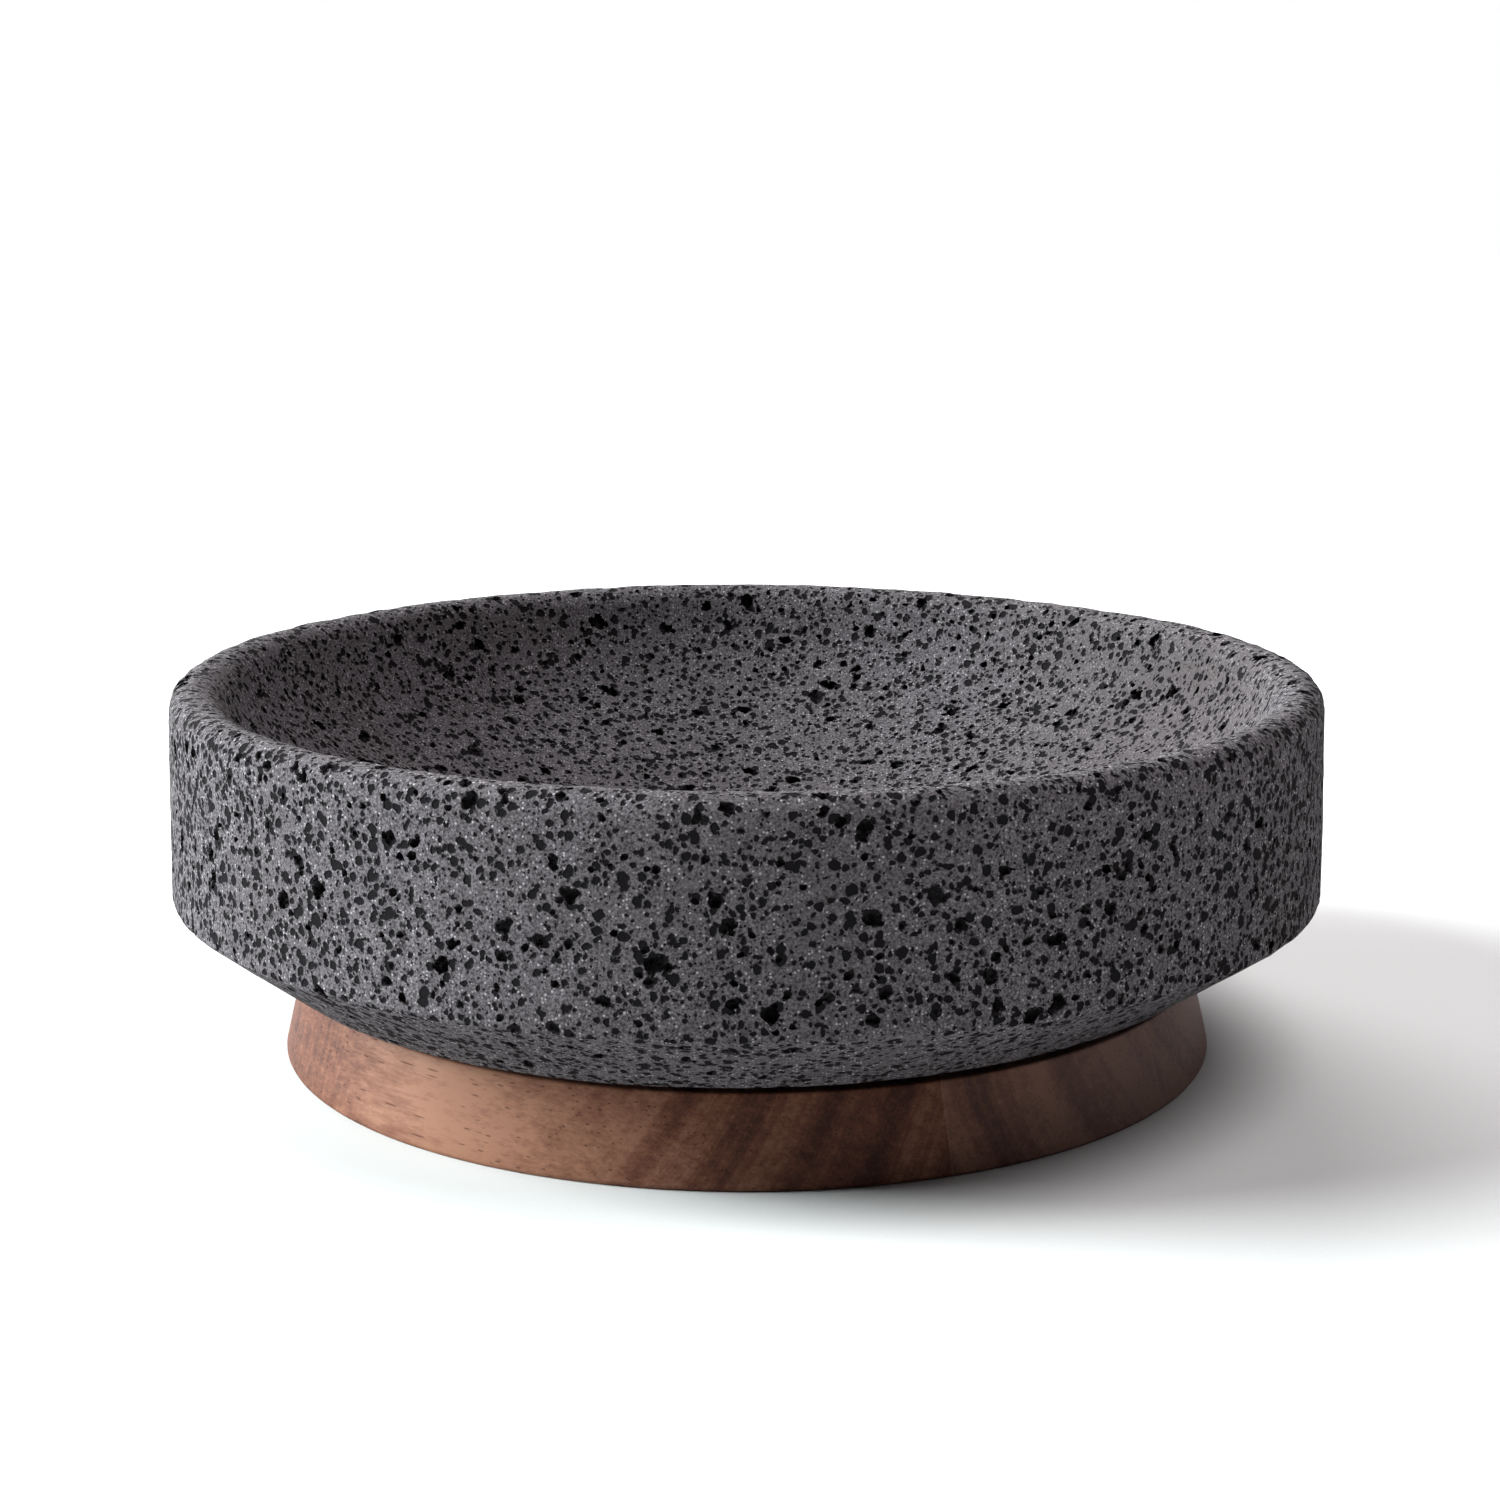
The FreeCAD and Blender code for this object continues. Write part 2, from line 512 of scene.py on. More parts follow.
@dataclass(frozen=True)
class PorousStone:
    """Ground volcanic stone: matte dark grey with bright grains, open bubbles and pits. Painted shade
    darkens the bubbles, and a patch of painted shade darkens the inside of the rim at the right.
    """

    deep_grey: Colour = (0.036, 0.032, 0.035)
    pale_grey: Colour = (0.155, 0.142, 0.153)
    brown_grey: Colour = (0.076, 0.066, 0.068)
    bright_grain: Colour = (0.43, 0.41, 0.43)
    # the colour of the painted shade inside the bubbles, cut and small alike
    painted_bubble_shade: Colour = (0.0075, 0.0065, 0.0075)
    # a patch of painted shade, high on the inside of the bowl at the right
    painted_shade_grey: Colour = (0.056, 0.048, 0.049)
    painted_shade_at: tuple[float, float, float] = (138.0 * MM, 48.0 * MM, 94.0 * MM)
    painted_shade_reach: float = 118.0 * MM
    painted_shade_strength: float = 0.75
    wide: BubbleLayer = BubbleLayer(270.0, 0.90, 0.20, 0.41)
    other: BubbleLayer = BubbleLayer(320.0, 0.90, 0.20, 0.41)
    pits: BubbleLayer = BubbleLayer(480.0, 0.85, 0.22, 0.40)
    pricks: BubbleLayer = BubbleLayer(850.0, 0.50, 0.22, 0.36)
    # the two swells below also widen the bubbles' painted shade
    side_swell: float = 0.06    # how much larger the bubbles are at the wall's sides, in cells
    bevel_swell: float = 0.07   # and on the bevel's left
    bevel_top: float = 41.0 * MM
    floor_reach: float = 90.0 * MM
    # below this depth a cut bubble's painted shade is full
    full_shade_depth: float = 0.8 * MM     # the depth below the skin where a cut bubble is darkest
    relief: float = 0.8 * MM        # how deep the small bubbles look
    roughness: float = 0.93
    specular: float = 0.06

    def material(self) -> bpy.types.Material:
        """Builds the stone's material.

        Returns:
            The material. It reads the mesh's bubble_depth, in metres below the ground skin.
        """
        recipe = Recipe("porous_stone")
        place = recipe.place()
        across, along, up = recipe.parts(place)
        reach = (across * across + along * along) ** 0.5
        hollows = self._hollows(recipe, place, across, reach, up)

        grain_cells, grain_radius = 1350.0, 0.44
        far, pick = recipe.cells(place, grain_cells)
        sparkle = ((pick - 0.70) * 3.3).clamped() * far.short_of(grain_radius, 0.15)
        fine = recipe.noise(place, 1500.0, 3.0, 0.8)
        mottle = recipe.noise(place, 110.0, 3.0, 0.55)
        stain = recipe.noise(place, 22.0, 2.0, 0.5)
        # A patch of painted shade darkens the inside of the rim at the right.
        inside = reach.short_of(142.0 * MM, 8.0 * MM)
        painted_shade = recipe.distance(place, (1.0,) * 3, self.painted_shade_at) / self.painted_shade_reach
        painted_shade = (1.0 - painted_shade).eased() * inside

        # Painted shade: the cut bubbles darken with depth below the skin, and the small bubbles are
        # painted dark.
        carved = (recipe.attribute("bubble_depth") / self.full_shade_depth).clamped()
        bubble_shade_share = (carved * (0.55 + fine * 0.65)).clamped().larger((hollows * 1.6).clamped())

        grey = recipe.mix((fine * 5.5 - 2.25).clamped(), self.deep_grey, self.pale_grey)
        grey = recipe.mix(((stain - 0.42) * 3.0).clamped() * 0.45, grey, self.brown_grey)
        grey = recipe.mix((mottle * 2.0 - 0.7).clamped() * 0.35, grey, self.deep_grey)
        grey = recipe.mix(sparkle * 0.75, grey, self.bright_grain)
        # the patch of painted shade
        grey = recipe.mix(painted_shade * self.painted_shade_strength, grey, self.painted_shade_grey)
        height = fine * 0.15 + mottle * 0.1 - hollows
        return recipe.finish({
            "Base Color": recipe.mix(bubble_shade_share, grey, self.painted_bubble_shade),
            "Roughness": self.roughness - sparkle * 0.35,
            "Specular IOR Level": self.specular,
            "Normal": recipe.bump(height, self.relief, 1.0),
        })

    def _hollows(self, recipe: Recipe, place: Wire, across: Wire, reach: Wire, up: Wire) -> Wire:
        """All the small bubbles together.

        Args:
            recipe: The material that the nodes are added to.
            place: The point on the piece.
            across: The point's X.
            reach: The point's distance from the axis.
            up: The point's height.

        Returns:
            0 on the skin to 1 in a bubble. The bevel has weaker ones.
        """
        coarse_warp, fine_warp = 0.9 * MM, 0.35 * MM
        shaken = recipe.warped(recipe.warped(place, 330.0, coarse_warp), 1000.0, fine_warp)
        aside = recipe.stretched(shaken, (1.0,) * 3, (0.7,) * 3)
        outside = reach.past(144.0 * MM, 3.0 * MM)
        bevel = up.short_of(44.0 * MM, 3.0 * MM) * reach.past(118.0 * MM, 4.0 * MM)
        far_side = across.size().past(70.0 * MM, 70.0 * MM) * outside * (1.0 - bevel)
        far_left = across.short_of(-40.0 * MM, 60.0 * MM) * bevel
        # Swelling the bubbles at the wall's sides and the bevel's left widens their painted shade
        # there.
        swell = far_side * self.side_swell + far_left * self.bevel_swell
        hollows = self.wide.mask(recipe, shaken, swell).larger(self.other.mask(recipe, aside, swell))
        hollows = hollows.larger(self.pits.mask(recipe, shaken, swell) * 0.9)
        hollows = hollows.larger(self.pricks.mask(recipe, place, swell) * 0.6)
        above_bevel = up.past(self.bevel_top, 5.0 * MM)
        floor = reach.short_of(self.floor_reach, 10.0 * MM)
        return hollows * (0.70 + 0.30 * above_bevel.larger(floor))


class BubbleForm(Enum):
    """How finely a bubble's own ball is cut: its subdivisions."""

    SMALL = 1
    LARGE = 2


@dataclass(frozen=True)
class BubbleCrop:
    """One cut's worth of bubbles, none of which touch each other. Sizes in metres."""

    count: int
    smallest: float
    largest: float
    steepness: float    # the higher, the fewer large ones
    clinging: float     # the share that opens into a bubble of an earlier cut


@dataclass
class StoneBowl:
    """The bowl: turned, pierced by its bubbles, and left a little uneven as hand work is."""

    rim_radius: float
    bowl_radius: float
    rim_height: float
    foot_bottom: float
    corner_height: float = 44.6 * MM
    lower_edge_radius: float = 124.0 * MM
    underside_height: float = 25.0 * MM
    foot_radius: float = 108.0 * MM
    rim_outer_round: float = 5.0 * MM
    rim_flat: float = 0.8 * MM
    rim_inner_round: float = 8.0 * MM
    hollow_depth: float = 62.0 * MM
    hollow_side_round: float = 48.0 * MM
    lip_turn: float = 70.0
    corner_round: float = 2.2 * MM
    lower_edge_round: float = 1.2 * MM
    foot_round: float = 1.5 * MM
    faces_round: int = 192
    forms: int = 7                  # how many different balls the bubbles are copied from
    large_from: float = 2.9 * MM    # bubbles wider than this are copied from the finer balls
    host_from: float = 2.8 * MM     # bubbles wider than this have others clinging to them
    spacing: float = 1.3            # the least room between a crop's bubbles, in their own sizes
    stretch: tuple[float, float] = (0.75, 1.3)
    sunk: tuple[float, float] = (-0.05, 0.45)   # how deep a bubble's middle lies, in radii
    rim_waves: float = 0.25 * MM
    dip_depth: float = 0.7 * MM     # of the low place in the rim
    dip_at: float = 48.0            # degrees round from +X
    dip_width: float = 24.0
    edge_lift: float = 1.4 * MM     # of the lower edge, at the front right
    edge_pull: float = 0.9 * MM
    lift_at: float = -38.0
    lift_width: float = 42.0
    drawn_in: float = 0.3 * MM
    lump_depth: float = 0.3 * MM
    lump_waves: int = 40
    shortest_lump: float = 6.0 * MM
    longest_lump: float = 14.0 * MM
    still_reach: float = 30.0 * MM  # nearer the axis than this, the skin moves less
    crops: tuple[BubbleCrop, ...] = (
        BubbleCrop(1500, 2.0 * MM, 5.2 * MM, 4.0, 0.0),
        BubbleCrop(1050, 1.9 * MM, 3.4 * MM, 3.4, 0.40),
        BubbleCrop(550, 1.8 * MM, 3.0 * MM, 3.2, 0.50),
    )
    seed: int = 11
    lump_seed: int = 23
    sharpest: float = 50.0          # the sharpest edge that is shaded smooth, in degrees
    finish: PorousStone = PorousStone()

    def outline(self) -> Outline:
        """The half outline, from the middle of the hollow's floor round to the foot's middle.

        Returns:
            The outline, which the bubbles are also measured from.
        """
        longest = 12.0 * MM
        floor_steps, side_steps, lip_steps = 10, 7, 6
        crest = self.rim_radius - self.rim_outer_round - self.rim_flat
        lip = Vector((crest, self.rim_height - self.rim_inner_round))
        floor = self.rim_height - self.hollow_depth
        turn = math.radians(self.lip_turn)
        inward = Vector((-math.sin(turn), math.cos(turn)))
        side = lip + inward * (self.rim_inner_round + self.hollow_side_round)
        rise = side.y - floor
        floor_round = (side.x ** 2 + rise ** 2 - self.hollow_side_round ** 2) / (
            2 * (rise - self.hollow_side_round))
        floor_centre = Vector((0.0, floor + floor_round))
        floor_end = math.degrees(math.atan2(side.y - floor_centre.y, side.x))
        outline = Outline((0.0, floor))
        outline.arc(floor_centre, -90.0, floor_end, floor_steps)
        outline.arc(side, floor_end, self.lip_turn - 90.0, side_steps)
        outline.arc(lip, self.lip_turn + 90.0, 90.0, lip_steps)
        return outline.corners([
            (self.rim_radius, self.rim_height, self.rim_outer_round),
            (self.bowl_radius, self.corner_height, self.corner_round),
            (self.lower_edge_radius, self.underside_height, self.lower_edge_round),
            (self.foot_radius, self.underside_height, self.foot_round),
            (self.foot_radius, self.foot_bottom, self.foot_round),
            (0.0, self.foot_bottom, 0.0),
        ], longest)

    def bubble_forms(self, form: BubbleForm) -> list[tuple[np.ndarray, np.ndarray]]:
        """Models the few lumpy balls that every bubble is a copy of.

        Args:
            form: How finely the balls are cut.

        Returns:
            The points and the faces of each ball, one metre in radius.
        """
        found = []
        lumpiness = 0.26
        for seed in range(1, self.forms + 1):
            bpy.ops.object.select_all(action="DESELECT")
            bpy.ops.mesh.primitive_ico_sphere_add(subdivisions=form.value, radius=1.0)
            ball = bpy.context.active_object
            bpy.ops.object.mode_set(mode="EDIT")
            bpy.ops.mesh.select_all(action="SELECT")
            bpy.ops.transform.vertex_random(offset=lumpiness, uniform=1.0, seed=seed)
            bpy.ops.object.mode_set(mode="OBJECT")
            points = np.array([vertex.co[:] for vertex in ball.data.vertices])
            faces = np.array([face.vertices[:] for face in ball.data.polygons])
            found.append((points, faces))
            bpy.data.objects.remove(ball)
        return found

    def scatter(
        self, outline: Outline, crop: BubbleCrop, earlier: np.ndarray, dice: np.random.Generator,
    ) -> np.ndarray:
        """Throws a crop of bubbles over the skin that shows, keeping them clear of each other.

        Args:
            outline: The bowl's half outline.
            crop: How many bubbles, and how large.
            earlier: The bubbles of the cuts before, which a part of the crop clings to.
            dice: The source of chance.

        Returns:
            A row for each bubble: its place, the outward direction there, and its diameter.
        """
        walk = np.array([point[:] for point in outline.points])
        steps = np.diff(walk, axis=0)
        lengths = np.hypot(*steps.T)
        middles = (walk[1:] + walk[:-1]) / 2
        outward = np.stack([-steps[:, 1], steps[:, 0]], 1) / lengths[:, None]
        share = lengths * middles[:, 0] * (middles[:, 1] > self.underside_height - MM)
        share /= share.sum()
        wide = earlier[earlier[:, 6] > self.host_from]
        nearest, furthest = 0.75, 1.15
        kept = np.empty((0, 7))
        power = 1.0 - crop.steepness
        while len(kept) < crop.count:
            part = dice.choice(len(share), p=share)
            radius, height = walk[part] + steps[part] * dice.random()
            angle = dice.random() * math.tau
            around = np.array([math.cos(angle), math.sin(angle)])
            place = np.array([*(radius * around), height])
            span = crop.largest ** power - crop.smallest ** power
            size = (crop.smallest ** power + dice.random() * span) ** (1.0 / power)
            if len(kept) < crop.clinging * crop.count:
                gap = np.linalg.norm(wide[:, :3] - place, axis=1) / (wide[:, 6] / 2)
                if not nearest < gap.min() < furthest:
                    continue
            apart = np.linalg.norm(kept[:, :3] - place, axis=1)
            if np.any(apart < self.spacing * (kept[:, 6] + size) / 2):
                continue
            row = [*place, *(outward[part, 0] * around), outward[part, 1], size]
            kept = np.vstack([kept, row])
        return kept

    def bubble_swarm(self, bubbles: np.ndarray, dice: np.random.Generator) -> bpy.types.Object:
        """Copies the lumpy balls to where the bubbles are, turned and stretched by chance.

        Args:
            bubbles: Rows from scatter().
            dice: The source of chance.

        Returns:
            One object with all the balls, ready to cut the stone.
        """
        small = self.bubble_forms(BubbleForm.SMALL)
        large = self.bubble_forms(BubbleForm.LARGE)
        points, faces, count = [], [], 0
        for place_x, place_y, place_z, out_x, out_y, out_z, size in bubbles:
            ball, skin = (large if size > self.large_from else small)[dice.integers(self.forms)]
            stretch = dice.uniform(*self.stretch, size=3)
            turn, _ = np.linalg.qr(dice.normal(size=(3, 3)))
            turn *= np.sign(np.linalg.det(turn))
            sunk = dice.uniform(*self.sunk) * size / 2
            place = np.array([place_x, place_y, place_z]) - sunk * np.array([out_x, out_y, out_z])
            points.append((ball * stretch) @ turn * (size / 2) + place)
            faces.append(skin + count)
            count += len(ball)
        mesh = bpy.data.meshes.new("bubble_swarm")
        mesh.from_pydata(np.concatenate(points).tolist(), [], np.concatenate(faces).tolist())
        swarm = bpy.data.objects.new("bubble_swarm", mesh)
        bpy.context.scene.collection.objects.link(swarm)
        return swarm

    def pierce(self, bowl: bpy.types.Object, swarm: bpy.types.Object) -> None:
        """Cuts a swarm of bubbles out of the bowl, and removes the swarm.

        Args:
            bowl: The bowl as cut so far.
            swarm: The balls to cut out, none of which touch each other.
        """
        cut = bowl.modifiers.new("open_bubbles", "BOOLEAN")
        cut.operation = "DIFFERENCE"
        cut.solver = "MANIFOLD"
        cut.object = swarm
        bpy.ops.object.select_all(action="DESELECT")
        bowl.select_set(True)
        bpy.context.view_layer.objects.active = bowl
        bpy.ops.object.modifier_apply(modifier=cut.name)
        bpy.data.objects.remove(swarm)

    def sweep(self, bowl: bpy.types.Object) -> None:
        """Clears away the crumbs that the cuts leave hanging on nothing.

        Args:
            bowl: The bowl after its last cut. All that hangs together with its foot is kept.
        """
        bpy.ops.object.mode_set(mode="EDIT")
        bpy.ops.mesh.select_all(action="DESELECT")
        bpy.ops.object.mode_set(mode="OBJECT")
        middle = Vector((0.0, 0.0, self.foot_bottom))
        min(bowl.data.vertices, key=lambda vertex: (vertex.co - middle).length).select = True
        bpy.ops.object.mode_set(mode="EDIT")
        bpy.ops.mesh.select_linked()
        bpy.ops.mesh.select_all(action="INVERT")
        bpy.ops.mesh.delete(type="VERT")
        bpy.ops.object.mode_set(mode="OBJECT")

    def mark_depth(self, bowl: bpy.types.Object, outline: Outline) -> None:
        """Writes how far each point lies from the turned skin, in metres, as bubble_depth.

        Args:
            bowl: The pierced bowl, not yet weathered.
            outline: The half outline that it was turned from.
        """
        places = self._places(bowl)
        flat = np.stack([np.hypot(places[:, 0], places[:, 1]), places[:, 2]], 1)
        walk = np.array([point[:] for point in outline.points])
        nearest = np.full(len(flat), np.inf)
        for start, end in pairwise(walk):
            along = end - start
            share = np.clip((flat - start) @ along / (along @ along), 0.0, 1.0)
            away = np.hypot(*(flat - start - share[:, None] * along).T)
            nearest = np.minimum(nearest, away)
        slack = 0.04 * MM
        marked = bowl.data.attributes.new("bubble_depth", "FLOAT", "POINT")
        marked.data.foreach_set("value", np.maximum(nearest - slack, 0.0).astype(np.float32))

    @staticmethod
    def _places(piece: bpy.types.Object) -> np.ndarray:
        """Reads a mesh's points.

        Args:
            piece: The mesh's object.

        Returns:
            A row for each point: X, Y and Z.
        """
        flat = np.empty(3 * len(piece.data.vertices), np.float32)
        piece.data.vertices.foreach_get("co", flat)
        return flat.reshape(-1, 3).astype(float)

    def weather(self, bowl: bpy.types.Object) -> None:
        """Leaves the skin a little uneven, and the lower edge lifted at the front right.

        Args:
            bowl: The pierced bowl. Its points move inward or down, apart from that lift.
        """
        places = self._places(bowl)
        angle = np.arctan2(places[:, 1], places[:, 0])
        wall = self.rim_height - self.corner_height
        high = np.clip((places[:, 2] - self.corner_height) / wall, 0, 1)
        off = (angle - math.radians(self.dip_at) + math.pi) % math.tau - math.pi
        dip = np.exp(-((off / math.radians(self.dip_width)) ** 2))
        waves = 0.5 + 0.25 * np.sin(2 * angle + 0.6) + 0.25 * np.sin(5 * angle + 2.1)
        places[:, 2] -= high ** 3 * (self.rim_waves * waves + self.dip_depth * dip)

        reach = np.hypot(places[:, 0], places[:, 1])
        belly = self.corner_height - self.underside_height
        low = np.clip((self.corner_height - places[:, 2]) / belly, 0, 1)
        low *= np.clip((reach - self.foot_radius) / (self.lower_edge_radius - self.foot_radius), 0, 1)
        off = (angle - math.radians(self.lift_at)) / math.radians(self.lift_width)
        lift = low * np.exp(-(off ** 2))
        places[:, 2] += self.edge_lift * lift

        lumps = self._lumps(places)
        places[:, 2] -= self.lump_depth * lumps * high ** 3
        draw = 0.5 + 0.3 * np.sin(3 * angle + 1.0 + 2.0 * high) + 0.2 * np.sin(7 * angle - 1.3)
        inward = self.drawn_in * draw + self.edge_pull * lift + self.lump_depth * lumps
        places[:, :2] *= (1.0 - inward / np.maximum(reach, self.still_reach))[:, None]
        bowl.data.vertices.foreach_set("co", places.astype(np.float32).ravel())
        bowl.data.update()

    def _lumps(self, places: np.ndarray) -> np.ndarray:
        """Crosses many waves, so that the skin has no regular pattern.

        Args:
            places: The points, as rows.

        Returns:
            How far in each point is drawn, from 0 to 1.6 lump depths.
        """
        dice = np.random.default_rng(self.lump_seed)
        ways = dice.normal(size=(self.lump_waves, 3))
        lengths = dice.uniform(self.shortest_lump, self.longest_lump, self.lump_waves)
        ways *= (math.tau / lengths / np.linalg.norm(ways, axis=1))[:, None]
        starts = dice.uniform(0, math.tau, self.lump_waves)
        swell = np.sin(places @ ways.T + starts).sum(axis=1) / math.sqrt(self.lump_waves)
        return np.clip(0.5 + 0.5 * swell, 0, 1.6)

    def build(self) -> bpy.types.Object:
        """Models and dresses the bowl.

        Returns:
            The finished piece.
        """
        outline = self.outline()
        bowl = outline.turned("molcajete_bowl", self.faces_round)
        dice = np.random.default_rng(self.seed)
        bubbles = np.empty((0, 7))
        for crop in self.crops:
            fresh = self.scatter(outline, crop, bubbles, dice)
            self.pierce(bowl, self.bubble_swarm(fresh, dice))
            bubbles = np.vstack([bubbles, fresh])
        self.sweep(bowl)
        self.mark_depth(bowl, outline)
        self.weather(bowl)
        smooth(bowl, self.sharpest)
        dress(bowl, self.finish.material())
        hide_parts("stone_bowl")
        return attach(bowl, "bowl")


# ---------------------------------------------------------------- the wood


@dataclass(frozen=True)
class TurnedHardwood:
    """Oiled red-brown hardwood, two boards glued edge to edge, with a grain that slants."""

    pale: Colour = (0.240, 0.114, 0.071)
    middle: Colour = (0.130, 0.050, 0.030)
    deep: Colour = (0.048, 0.017, 0.012)
    vessel: Colour = (0.042, 0.017, 0.012)
    # a greyer colour for the right board, which also paints a sheen of reflected white towards its edge
    grey_and_sheen: Colour = (0.170, 0.124, 0.118)
    glue: Colour = (0.30, 0.16, 0.11)
    joint_at: float = 46.0 * MM
    joint_height: float = 11.0 * MM     # where the leaning joint stands at joint_at
    joint_lean: float = 0.13
    glue_width: float = 0.3 * MM
    left_heart: tuple[float, float] = (-115.0 * MM, 81.0 * MM)
    right_heart: tuple[float, float] = (220.0 * MM, 78.0 * MM)
    bands: float = 95.0     # growth rings to the metre
    ring_contrast: float = 0.95
    cloud_contrast: float = 0.9
    fibre_contrast: float = 0.75
    speckle_contrast: float = 1.0
    upright_contrast: float = 1.1
    base_tone: float = -0.15
    fibre_turn: float = -48.0
    vessel_gaps: float = 0.25   # the share of the places for a vessel that stay empty
    vessel_depth: float = 0.12 * MM
    specular: float = 0.13

    def material(self) -> bpy.types.Material:
        """Builds the wood's material: growth rings round each board's heart, pores, a glue line, and a
        painted sheen that greys and pales the right side.

        Returns:
            The material.
        """
        recipe = Recipe("turned_hardwood")
        place = recipe.place()
        wandering = recipe.warped(recipe.stretched(place, (1.0, 0.3, 1.0)), 18.0, 5.0 * MM)
        across, _, up = recipe.parts(place)
        past_joint = across + self.joint_lean * (up - self.joint_height) - self.joint_at
        right_board = past_joint > 0.0
        left = self._rings(recipe, wandering, self.left_heart, 3.0)
        right = self._rings(recipe, wandering, self.right_heart, 9.0)
        rings = left + right_board * (right - left)

        along = recipe.turned(place, self.fibre_turn)
        fibres = recipe.noise(recipe.stretched(along, (1.0, 0.05, 1.0)), 1500.0, 3.0, 0.65)
        cloud = recipe.noise(recipe.stretched(place, (1.0, 0.5, 1.0)), 26.0, 3.0, 0.55)
        speckle = recipe.noise(recipe.stretched(along, (1.0, 0.35, 1.0)), 420.0, 3.0, 0.7)
        far, pick = recipe.cells(recipe.stretched(along, (1.0, 0.07, 1.0)), 950.0)
        vessels = (pick > self.vessel_gaps) * far.short_of(0.22, 0.10)

        dark_middle = (across - 22.0 * MM).size().short_of(60.0 * MM, 60.0 * MM)
        pale_ends = across.size().past(32.0 * MM, 30.0 * MM)
        plain_left = across.short_of(-14.0 * MM, 30.0 * MM).eased()
        dusky_left = across.short_of(-77.0 * MM, 26.0 * MM)
        # painted sheen: the far right is made paler
        painted_sheen_right = across.past(90.0 * MM, 22.0 * MM)
        far_sides = across.size().past(88.0 * MM, 14.0 * MM).eased()
        upright = recipe.noise(recipe.stretched(place, (0.3, 1.0, 0.06)), 420.0, 3.0, 0.6)
        figure = (
            rings * (self.ring_contrast - plain_left * 0.75) + (cloud - 0.5) * self.cloud_contrast
            + (fibres - 0.5) * self.fibre_contrast + (speckle - 0.5) * self.speckle_contrast
            + (upright - 0.5) * far_sides * self.upright_contrast)
        tone = (
            figure + dark_middle * 0.42 - pale_ends * 0.14 + plain_left * 0.24 + dusky_left * 0.63
            - painted_sheen_right * 0.32 + self.base_tone)
        wood = recipe.node("ShaderNodeValToRGB", {"stops": (
            (0.0, self.pale), (0.5, self.middle), (1.0, self.deep))}, {0: tone.clamped()})
        # The right board is a little greyer of itself, and greyer still towards its edge, where a
        # painted sheen of reflected white is mixed in.
        grey_and_sheen_share = right_board * (0.15 + across.past(52.0 * MM, 40.0 * MM) * 0.35)
        colour = recipe.mix(grey_and_sheen_share, recipe.wire(wood), self.grey_and_sheen)
        colour = recipe.mix(vessels * 0.6, colour, self.vessel)
        glue_line = past_joint.size().short_of(self.glue_width, self.glue_width)
        colour = recipe.mix(glue_line * 0.35, colour, self.glue)
        return recipe.finish({
            "Base Color": colour,
            "Roughness": 0.52 + fibres * 0.14 + vessels * 0.2,
            "Specular IOR Level": self.specular,
            "Normal": recipe.bump(fibres * 0.15 - vessels, self.vessel_depth, 0.6),
        })

    def _rings(self, recipe: Recipe, place: Wire, heart: tuple[float, float], seed: float) -> Wire:
        """Bands of uneven width round a heart that runs along Y.

        Args:
            recipe: The material that the nodes are added to.
            place: Where to look.
            heart: The heart's X and Z.
            seed: Any number, another for each board.

        Returns:
            0 in the palest band to 1 in the darkest.
        """
        from_heart = recipe.distance(place, (1.0, 0.0, 1.0), (heart[0], 0.0, heart[1]))
        place_in_board = recipe.node("ShaderNodeCombineXYZ", {}, {0: from_heart, 1: seed})
        bands = recipe.noise(recipe.wire(place_in_board), self.bands, 5.0, 0.66)
        return ((bands - 0.30) / 0.42).eased()


@dataclass
class WoodenBaseRing:
    """The low turned ring that the bowl drops into."""

    foot_radius: float
    height: float
    spread: float = 5.2 * MM
    rebate_radius: float = 109.0 * MM
    bore_radius: float = 95.0 * MM
    ledge_height: float = 14.0 * MM
    top_arris: float = 0.8 * MM
    foot_arris: float = 1.2 * MM
    inner_arris: float = 1.0 * MM
    faces_round: int = 288
    sharpest: float = 30.0
    finish: TurnedHardwood = TurnedHardwood()

    def build(self) -> bpy.types.Object:
        """Models and dresses the ring.

        Returns:
            The finished piece.
        """
        longest = 6.0 * MM
        outline = Outline((self.bore_radius, self.ledge_height / 2))
        outline.corners([
            (self.bore_radius, 0.0, self.inner_arris),
            (self.foot_radius, 0.0, self.foot_arris),
            (self.foot_radius - self.spread, self.height, self.top_arris),
            (self.rebate_radius, self.height, self.top_arris),
            (self.rebate_radius, self.ledge_height, self.top_arris),
            (self.bore_radius, self.ledge_height, self.inner_arris),
            (self.bore_radius, self.ledge_height / 2, 0.0),
        ], longest)
        ring = outline.turned("molcajete_base_ring", self.faces_round)
        smooth(ring, self.sharpest)
        dress(ring, self.finish.material())
        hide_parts("wooden_base_ring")
        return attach(ring, "ring")


# ---------------------------------------------------------------- the studio


@dataclass(frozen=True)
class SoftLight:
    """One large soft lamp, far enough off to light the whole table evenly."""

    name: str
    azimuth: float      # degrees round from the camera's side, + to the right
    elevation: float
    spread: float       # degrees that the lamp fills, which softens its shadows
    strength: float
    colour: Colour = (1.0, 1.0, 1.0)

    def hang(self) -> bpy.types.Object:
        """Turns the lamp to shine on the middle of the table.

        Returns:
            The lamp's object.
        """
        lamp = bpy.data.lights.new(self.name, "SUN")
        lamp.angle = math.radians(self.spread)
        lamp.energy = self.strength
        lamp.color = self.colour
        held = bpy.data.objects.new(self.name, lamp)
        bpy.context.scene.collection.objects.link(held)
        turn, tip = math.radians(self.azimuth), math.radians(self.elevation)
        away = Vector((math.sin(turn) * math.cos(tip), -math.cos(turn) * math.cos(tip), math.sin(tip)))
        held.location = away
        held.rotation_euler = (-away).to_track_quat("-Z", "Y").to_euler()
        return held


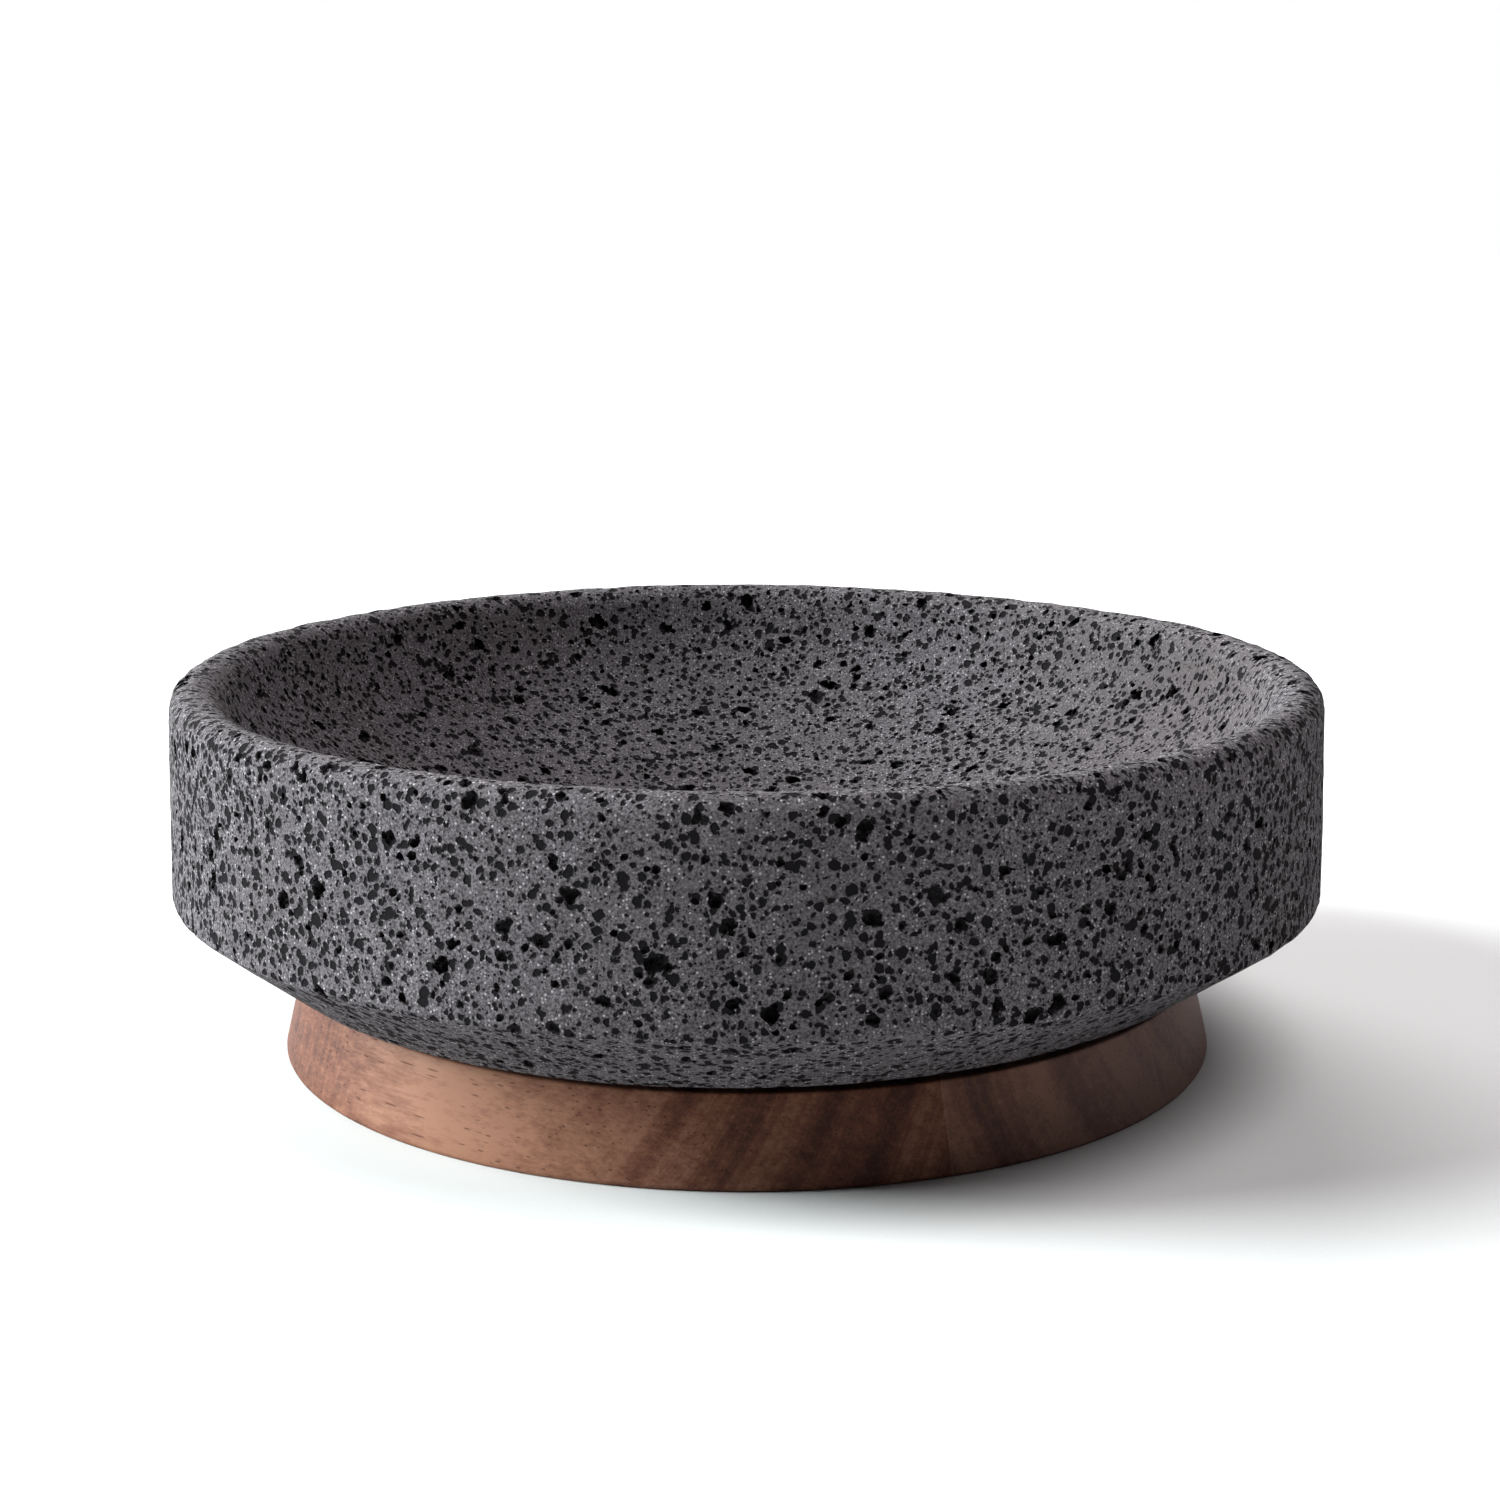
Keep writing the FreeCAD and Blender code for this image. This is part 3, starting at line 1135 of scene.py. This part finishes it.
@dataclass
class Studio:
    """A white table, soft lamps and the camera."""

    eye_distance: float = 740.5 * MM
    eye_elevation: float = 18.0
    eye_shift: float = 0.8 * MM
    eye_pitch: float = 12.255
    lens: float = 65.6
    table_radius: float = 6.0
    room_light: float = 0.042
    lamps: tuple[SoftLight, ...] = (
        SoftLight("key_left", -86.0, 36.0, 26.0, 4.3, (0.93, 1.0, 1.0)),
        SoftLight("low_left", -98.0, 15.0, 26.0, 6.2, (0.93, 1.0, 1.0)),
        SoftLight("low_back_left", -150.0, 13.0, 30.0, 1.4),
        SoftLight("back", -168.0, 32.0, 40.0, 2.4, (1.0, 0.98, 0.98)),
        SoftLight("overhead_right", 78.0, 72.0, 45.0, 1.8, (1.0, 0.96, 0.97)),
    )

    def table_top(self) -> bpy.types.Material:
        """Builds the table's material: a matte white board with a faint tooth.

        Returns:
            The material.
        """
        recipe = Recipe("white_board")
        tooth = recipe.noise(recipe.place(), 700.0, 2.0)
        tint = recipe.mix(tooth, (0.65, 0.65, 0.65), (0.68, 0.68, 0.68))
        return recipe.finish({"Base Color": tint, "Roughness": 0.9, "Specular IOR Level": 0.1})

    def build(self) -> None:
        """Lays the table, hangs the lamps and sets the camera up."""
        board = 20.0 * MM
        edge = self.table_radius
        outline = Outline((0.0, 0.0)).line((edge, 0.0), 1.0)
        outline.line((edge, -board), 1.0).line((0.0, -board), 1.0)
        table = outline.turned("white_table", 96)
        smooth(table, 30.0)
        dress(table, self.table_top())
        for lamp in self.lamps:
            lamp.hang()
        self._light_the_room()
        self._set_camera()
        bpy.context.scene.view_settings.view_transform = "Standard"

    def _light_the_room(self) -> None:
        """Makes the room look white, while it adds only a little light."""
        world = bpy.data.worlds.new("studio")
        world.use_nodes = True
        tree = world.node_tree
        seen = tree.nodes.new("ShaderNodeLightPath")
        strength = tree.nodes.new("ShaderNodeMix")
        strength.inputs[2].default_value = self.room_light
        strength.inputs[3].default_value = 1.0
        tree.links.new(seen.outputs["Is Camera Ray"], strength.inputs[0])
        tree.nodes["Background"].inputs["Color"].default_value = (1.0, 1.0, 1.0, 1.0)
        tree.links.new(strength.outputs[0], tree.nodes["Background"].inputs["Strength"])
        bpy.context.scene.world = world

    def _set_camera(self) -> None:
        """Stands the camera in front, looking down at the bowl."""
        lens = bpy.data.cameras.new("camera")
        lens.lens = self.lens
        lens.sensor_width = 36.0
        eye = bpy.data.objects.new("camera", lens)
        bpy.context.scene.collection.objects.link(eye)
        tip = math.radians(self.eye_elevation)
        eye.location = (
            self.eye_shift, -self.eye_distance * math.cos(tip), self.eye_distance * math.sin(tip))
        eye.rotation_euler = (math.radians(90.0 - self.eye_pitch), 0.0, 0.0)
        bpy.context.scene.camera = eye


def main() -> None:
    """Builds the studio, the ring and the bowl, and reports each piece."""
    logging.basicConfig(level=logging.INFO, format="%(name)s: %(message)s")
    Studio().build()
    _, ring_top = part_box("wooden_base_ring")
    bowl_low, bowl_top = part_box("stone_bowl")
    wall_flare = 1.2 * MM
    pieces = (
        WoodenBaseRing(foot_radius=ring_top.x, height=ring_top.z).build(),
        StoneBowl(
            rim_radius=bowl_top.x - wall_flare, bowl_radius=bowl_top.x,
            rim_height=bowl_top.z, foot_bottom=bowl_low.z).build(),
    )
    for piece in pieces:
        piece.data.calc_loop_triangles()
        log.info("%s: %d triangles", piece.name, len(piece.data.loop_triangles))


if __name__ == "__main__":
    main()
